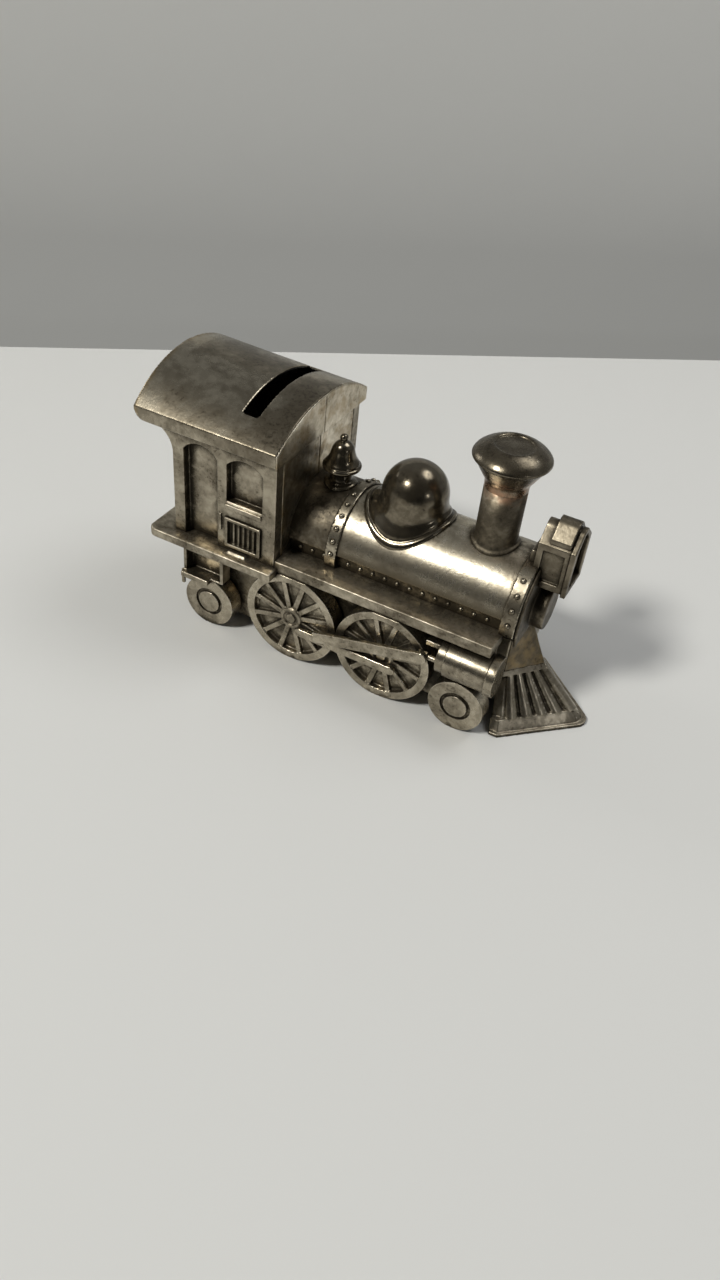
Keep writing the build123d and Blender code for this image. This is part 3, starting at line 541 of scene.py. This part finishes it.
STACK_PLATE = plate(
    "stack_plate", tarnish=0.82, blotch=0.2, mottle=0.2, cavity_tarnish_and_shade=0.2, border_stain_and_shade=0.1, wear=0.15,
    polish=0.28, dull=0.5, tint=copper_neck,
)
CAP_PLATE = plate(
    "cap_plate", tarnish=0.76, blotch=0.24, mottle=0.14, cavity_tarnish_and_shade=0.25, border_stain_and_shade=0.15, wear=0.35,
    polish=0.11, dull=0.28, reach=2.0, tint=copper_flare,
)
LAMP_PLATE = plate(
    "lamp_plate", tarnish=0.72, blotch=0.16, mottle=0.14, cavity_tarnish_and_shade=0.85, border_stain_and_shade=0.3, wear=0.5,
    polish=0.18, dull=0.4, reach=2.2,
)
CYLINDER_PLATE = plate(
    "cylinder_plate", tarnish=0.46, blotch=0.2, mottle=0.14, cavity_tarnish_and_shade=0.5, border_stain_and_shade=0.3, wear=0.3,
    polish=0.15, dull=0.4, reach=3.5,
)
BOARD_PLATE = plate(
    "board_plate", tarnish=0.47, blotch=0.22, mottle=0.2, cavity_tarnish_and_shade=0.2, border_stain_and_shade=0.12, wear=0.2,
    polish=0.34, dull=0.6,
)
PILOT_PLATE = plate(
    "pilot_plate", tarnish=0.46, blotch=0.16, mottle=0.14, cavity_tarnish_and_shade=0.55, border_stain_and_shade=0.25, wear=0.4,
    polish=0.24, dull=0.5, reach=3.0,
)
STOPPER_RUBBER = rubber("stopper_rubber")


# The first start that fits a node's name says its finish.
FINISHES = (
    ("coin_stopper", STOPPER_RUBBER),
    ("cab_roof", ROOF_PLATE), ("cab_deck", BOARD_PLATE), ("cab_front", LIGHTENED_FOR_SHADE_PLATE), ("cab", CAB_PLATE),
    ("side_grille", GRILLE_PLATE),
    ("firebox", FIREBOX_PLATE), ("boiler_cradle", CRADLE_PLATE), ("boiler_barrel", BOILER_PLATE),
    ("flank_rivets", RIVET_PLATE),
    ("running_board", BOARD_PLATE), ("frame", DARK_PLATE), ("base_plate", DARK_PLATE),
    ("prow", PROW_PLATE), ("pilot", PILOT_PLATE), ("cylinder", CYLINDER_PLATE),
    ("lamp", LAMP_PLATE), ("smokebox", FIREBOX_PLATE), ("stack", CAP_PLATE), ("smokestack", STACK_PLATE),
    ("steam_dome", DOME_PLATE), ("bell", DOME_PLATE),
)


def finish_of(node):
    for start, material in FINISHES:
        if node.startswith(start):
            return material
    return WHEEL_PLATE if "wheel" in node or "rod" in node or "slide" in node else BAND_PLATE


# ---- pieces ----
def wheel_rounds(node):
    # A drive wheel's top is cut off by the running board, so its width gives its radius.
    size = high(node) - low(node)
    radius = size.x / 2 if "drive" in node else size.z / 2
    return [(1, (middle(node).x, radius), radius)]


def boiler_rounds(*radii):
    return [(0, (0.0, BOILER_AXIS_Z), radius) for radius in radii]


CYLINDER_RING = 0.6           # how much the rear ring is smaller than the body
CYLINDER_FLANGE = 0.5         # and how much the front flange is larger


def cylinder_rounds(node):
    flange = (high(node).z - low(node).z) / 2
    body = flange - CYLINDER_FLANGE
    outer_y = high(node).y if node.endswith("left") else low(node).y
    side = 1 if node.endswith("left") else -1
    centre = (outer_y - side * flange, middle(node).z)
    return [(0, centre, radius) for radius in (body - CYLINDER_RING, body, flange)]


def rounds_for(node):
    if "wheel" in node:
        return wheel_rounds(node)
    if node.startswith("cylinder"):
        return cylinder_rounds(node)
    if node in ("boiler_barrel", "firebox_wrapper"):
        return boiler_rounds(BOILER_RADIUS)
    if node.endswith("_band"):
        return boiler_rounds(BOILER_RADIUS, BAND_RADIUS)
    return []


DOME_RADIUS_ROWS = (
    # radius, height above the boiler, and how far the row follows the boiler's curve
    (0.0, -0.4, 0.0), (8.0, -0.4, 1.0), (13.2, -0.3, 1.0), (13.75, -0.1, 1.0), (14.0, 0.25, 1.0),
    (14.0, 0.55, 1.0), (13.75, 0.85, 1.0), (13.35, 0.98, 1.0), (12.95, 0.85, 1.0), (12.75, 0.72, 1.0),
    (12.55, 0.85, 1.0), (12.45, 1.2, 1.0), (12.3, 1.65, 1.0), (11.9, 2.05, 0.99), (11.3, 2.3, 0.97),
    (10.8, 2.7, 0.92), (10.45, 3.3, 0.8), (10.28, 4.2, 0.55), (10.2, 5.2, 0.0),
)
DOME_FORWARD = 0.8            # the dome stands this far in front of its flange's centre
DOME_FORWARD_TO = (10.5, 12.4)  # the shift is whole inside the first radius and gone at the second
DOME_ROUND_STEPS = 36
TURNED_WAVE_SHARE = 0.6       # turned pieces are smoother than cast ones
STACK_NECK_RADIUS = 6.4
BELL_STEM_RADIUS = 3.3
STACK_ROWS = (
    (0.0, -0.4, 0.0), (5.0, -0.4, 1.0), (7.2, -0.3, 1.0), (7.5, 0.0, 1.0), (7.5, 0.45, 1.0),
    (7.2, 0.75, 1.0), (6.85, 0.85, 1.0), (6.6, 1.1, 0.95), (6.45, 1.8, 0.85),
    (6.4, 3.0, 0.5), (6.4, 4.5, 0.0),
)
BELL_STAND_ROWS = (
    (0.0, -0.4, 0.0), (3.0, -0.4, 1.0), (4.9, -0.3, 1.0), (5.2, 0.0, 1.0), (5.2, 0.4, 1.0),
    (4.9, 0.75, 1.0), (4.3, 0.9, 1.0), (3.6, 1.1, 0.8), (3.3, 1.6, 0.3),
)
# The stack cap: (radius, height from the top of the lid, which is 0), from the neck up the flare.
CAP_FLARE = (
    (6.4, -13.2), (6.45, -12.4), (6.6, -11.2), (7.1, -10.1), (7.9, -8.9), (9.0, -7.1), (10.2, -5.2),
    (10.45, -4.9),
)
CAP_LID = (
    (10.2, -4.75), (10.1, -4.6), (10.6, -4.5), (11.1, -4.3), (11.35, -3.9), (11.3, -3.5), (11.1, -3.1),
    (10.7, -2.6), (10.1, -2.0), (9.2, -1.35), (8.2, -0.75), (7.2, -0.25), (6.4, 0.0), (5.9, 0.0),
    (5.6, -0.15), (5.35, -0.4), (5.0, -0.48), (3.8, -0.5), (2.2, -0.46), (0.9, -0.42), (0.0, -0.42),
)
# The bell: (radius, height above the lip).
BELL_BODY = (
    (4.0, 0.0), (5.0, 0.0), (5.6, 0.1), (5.95, 0.4), (6.05, 0.85), (5.9, 1.25), (5.6, 1.45), (5.45, 1.65),
    (5.4, 1.9), (5.2, 2.3), (4.7, 3.0), (4.2, 4.0), (3.8, 5.2), (3.5, 6.4), (3.1, 7.4), (2.4, 8.3),
    (1.5, 8.85), (1.0, 9.05), (0.9, 9.3), (1.15, 9.6), (1.3, 10.1), (1.15, 10.7), (0.65, 11.2), (0.0, 11.35),
)
SMOOTH_STEPS = 4


def shifted(mesh, centre_x, inner, outer, shift):
    """Moves forward what is nearer the axis than inner, and less of what is between inner and outer."""
    points, _ = mesh_arrays(mesh)
    radius = np.hypot(points[:, 0] - centre_x, points[:, 1])
    points[:, 0] += shift * np.clip((outer - radius) / (outer - inner), 0, 1)
    set_points(mesh, points)


def turned_piece(node, rows):
    """A round CAD node as a finely turned piece."""
    mesh = turned(rows, middle(node).x)
    if node == "steam_dome":
        shifted(mesh, middle(node).x, *DOME_FORWARD_TO, DOME_FORWARD)
    waved(mesh, WAVE_HEIGHT * TURNED_WAVE_SHARE)
    return stand_for(add_piece(node + "_turned", mesh, BODY_OF[node]), node)


def dome_rows():
    # The flange and wall follow the boiler, and the head is half a sphere.
    radius = DOME_RADIUS_ROWS[-1][0]
    centre_z = high("steam_dome").z - radius
    rows = list(DOME_RADIUS_ROWS)
    rows += [(radius, centre_z)]
    for k in range(1, DOME_ROUND_STEPS + 1):
        angle = math.pi / 2 * k / DOME_ROUND_STEPS
        rows.append((radius * math.cos(angle), centre_z + radius * math.sin(angle)))
    rows[-1] = (0.0, rows[-1][1])
    return rows


def raised(rows, z):
    return [(max(r, 0.0), h + z) for r, h in rows]


def turned_pieces():
    neck = high("smokestack").z
    lip = low("bell").z
    flare = raised(flowing(CAP_FLARE, SMOOTH_STEPS), high("stack_cap").z)
    lid = raised(flowing(CAP_LID, SMOOTH_STEPS), high("stack_cap").z)
    body = raised(flowing(BELL_BODY, SMOOTH_STEPS), lip)
    return {
        "steam_dome": turned_piece("steam_dome", dome_rows()),
        "smokestack": turned_piece("smokestack", [*STACK_ROWS, (STACK_NECK_RADIUS, neck), (0.0, neck)]),
        "stack_cap": turned_piece("stack_cap", [(0.0, neck), *flare, *lid]),
        "bell": turned_piece("bell", [(0.0, lip), *body]),
        "bell_stand": turned_piece("bell_stand", [*BELL_STAND_ROWS, (BELL_STEM_RADIUS, lip), (0.0, lip)]),
    }


COARSE_STARTS = ("frame", "base_plate", "cab_deck", "cab_roof", "coin_stopper")
FINE_STARTS = ("lamp", "side_grille", "main_rod", "coupling_rod", "slide", "piston", "pilot", "cylinder",
               "cab_step", "flank", "rear_band", "front_band", "rear_wheel", "front_wheel", "rear_drive",
               "front_drive", "running_board", "cab_side")


def voxel_for(node):
    if node.startswith(FINE_STARTS):
        return FINE_VOXEL
    if node.startswith(COARSE_STARTS):
        return COARSE_VOXEL
    return MEDIUM_VOXEL


def make_pieces():
    pieces = turned_pieces()
    for node in NODES:
        if node not in pieces:
            pieces[node] = cast(node, voxel_for(node), rounds_for(node))
        pieces[node].data.materials.append(finish_of(node))


make_pieces()


# ---- floor and backdrop ----
FLOOR_EDGE = ((-900.0, -396.0), (700.0, 788.0))      # the far edge of the table top
FLOOR_DEPTH = 1350.0
FLOOR_COLOUR = (0.70, 0.70, 0.685)
BACKDROP_GAP = 150.0
BACKDROP_FOOT = -260.0
BACKDROP_HEIGHT = 275.0
BACKDROP_COLOUR = (0.68, 0.68, 0.66)
WRINKLE_MM = 90
WRINKLE_HEIGHT_MM = 4.0
VIEWER_AZIMUTH = -67.0
VIEWER_DISTANCE = 430.0
VIEWER_HALF_WIDTH = 230.0
VIEWER_HEIGHT = 620.0
VIEWER_COLOUR = (0.03, 0.03, 0.03)


def stage_plane(name, corners, colour, rough, wrinkle):
    mesh = bpy.data.meshes.new(name)
    mesh.from_pydata([Vector(c) * MM for c in corners], [], [(0, 1, 2, 3)])
    mesh.update()
    plane = bpy.data.objects.new(name, mesh)
    bpy.context.scene.collection.objects.link(plane)
    t = Tree(name + "_cloth")
    t.shader.inputs["Base Color"].default_value = (*colour, 1)
    t.shader.inputs["Roughness"].default_value = rough
    t.feed(t.shader.inputs["Normal"], t.bump(t.noise(WRINKLE_MM, 3.0), wrinkle, WRINKLE_HEIGHT_MM))
    mesh.materials.append(t.material)


def add_stage():
    (x0, y0), (x1, y1) = FLOOR_EDGE
    a, b = Vector((x0, y0, 0)), Vector((x1, y1, 0))
    along = (b - a).normalized()
    towards = Vector((along.y, -along.x, 0))
    near = towards * FLOOR_DEPTH
    stage_plane("floor", [a, b, b + near, a + near], FLOOR_COLOUR, 0.75, 0.05)
    gap = -towards * BACKDROP_GAP
    foot, top = Vector((0, 0, BACKDROP_FOOT)), Vector((0, 0, BACKDROP_HEIGHT))
    stage_plane("backdrop", [a + gap + foot, b + gap + foot, b + gap + top, a + gap + top],
                BACKDROP_COLOUR, 0.8, 0.1)
    add_viewer()


def add_viewer():
    """A dark card where the viewer stands. The camera does not see it, but the metal reflects it."""
    azimuth = math.radians(VIEWER_AZIMUTH)
    place = Vector((math.cos(azimuth), math.sin(azimuth), 0)) * VIEWER_DISTANCE
    aside = Vector((-math.sin(azimuth), math.cos(azimuth), 0)) * VIEWER_HALF_WIDTH
    top = Vector((0, 0, VIEWER_HEIGHT))
    corners = [place - aside, place + aside, place + aside + top, place - aside + top]
    stage_plane("viewer", corners, VIEWER_COLOUR, 0.9, 0.0)
    bpy.data.objects["viewer"].visible_camera = False


# ---- light ----
DIM_AZIMUTH = -67.0           # the room is dimmest towards the viewer
DIM_ELEVATION = 25.0
DIM_RANGE = (0.30, 0.90)      # cosines of the angles from there at which the dimming starts and is full
ROOM_GREY = (0.22, 0.225, 0.225)
ROOM_DIM = (0.035, 0.035, 0.035)
LIGHT_TARGET = (0, 0, 40)


def direction(azimuth, elevation):
    a, e = math.radians(azimuth), math.radians(elevation)
    return Vector((math.cos(a) * math.cos(e), math.sin(a) * math.cos(e), math.sin(e)))


def area_light(name, azimuth, elevation, distance, size, power, colour=(1, 1, 1)):
    lamp = bpy.data.lights.new(name, "AREA")
    lamp.shape = "DISK"
    lamp.size = size * MM
    lamp.energy = power
    lamp.color = colour
    holder = bpy.data.objects.new(name, lamp)
    holder.visible_camera = False
    towards = direction(azimuth, elevation)
    holder.location = (Vector(LIGHT_TARGET) + towards * distance) * MM
    holder.rotation_euler = towards.to_track_quat("Z", "Y").to_euler()
    bpy.context.scene.collection.objects.link(holder)


def add_room():
    """The room that the metal reflects: grey, and dim towards the viewer."""
    world = bpy.data.worlds.new("room")
    world.use_nodes = True
    nodes, links = world.node_tree.nodes, world.node_tree.links
    aim = nodes.new("ShaderNodeTexCoord").outputs["Generated"]
    dim = nodes.new("ShaderNodeVectorMath")
    dim.operation = "DOT_PRODUCT"
    dim.inputs[1].default_value = direction(DIM_AZIMUTH, DIM_ELEVATION)
    links.new(aim, dim.inputs[0])
    share = nodes.new("ShaderNodeValToRGB")
    share.color_ramp.interpolation = "EASE"
    share.color_ramp.elements[0].position = DIM_RANGE[0]
    share.color_ramp.elements[0].color = (*ROOM_GREY, 1)
    share.color_ramp.elements[1].position = DIM_RANGE[1]
    share.color_ramp.elements[1].color = (*ROOM_DIM, 1)
    links.new(dim.outputs["Value"], share.inputs["Fac"])
    links.new(share.outputs["Color"], nodes["Background"].inputs["Color"])
    bpy.context.scene.world = world


def add_light():
    area_light("key", -120, 48, 2600, 470, 44.0, (1.0, 0.985, 0.93))
    area_light("back_window", 50, 62, 900, 450, 2.0)
    area_light("left_window", 178, 24, 900, 200, 0.9)
    area_light("right_lamp", -24, 19, 900, 60, 0.2)
    add_room()
    bpy.context.scene.view_settings.view_transform = "Standard"


# ---- camera ----
CAMERA_PLACE = (99.721, -236.244, 217.665)
CAMERA_AZIMUTH = 24.032
CAMERA_ELEVATION = 40.633
CAMERA_ROLL = 6.549
CAMERA_LENS = 27.9756


def add_camera():
    a, e, roll = (math.radians(v) for v in (CAMERA_AZIMUTH, CAMERA_ELEVATION, CAMERA_ROLL))
    ahead = Vector((-math.sin(a) * math.cos(e), math.cos(a) * math.cos(e), -math.sin(e)))
    right = ahead.cross(Vector((0, 0, 1))).normalized()
    up = right.cross(ahead)
    turned_right = math.cos(roll) * right + math.sin(roll) * up
    turned_up = -math.sin(roll) * right + math.cos(roll) * up
    data = bpy.data.cameras.new("camera")
    data.sensor_width = 36.0
    data.lens = CAMERA_LENS
    data.clip_start = 0.01
    camera = bpy.data.objects.new("camera", data)
    axes = Matrix((turned_right, turned_up, -ahead)).transposed()
    camera.matrix_world = Matrix.Translation(Vector(CAMERA_PLACE) * MM) @ axes.to_4x4()
    bpy.context.scene.collection.objects.link(camera)
    bpy.context.scene.camera = camera


add_stage()
add_light()
add_camera()
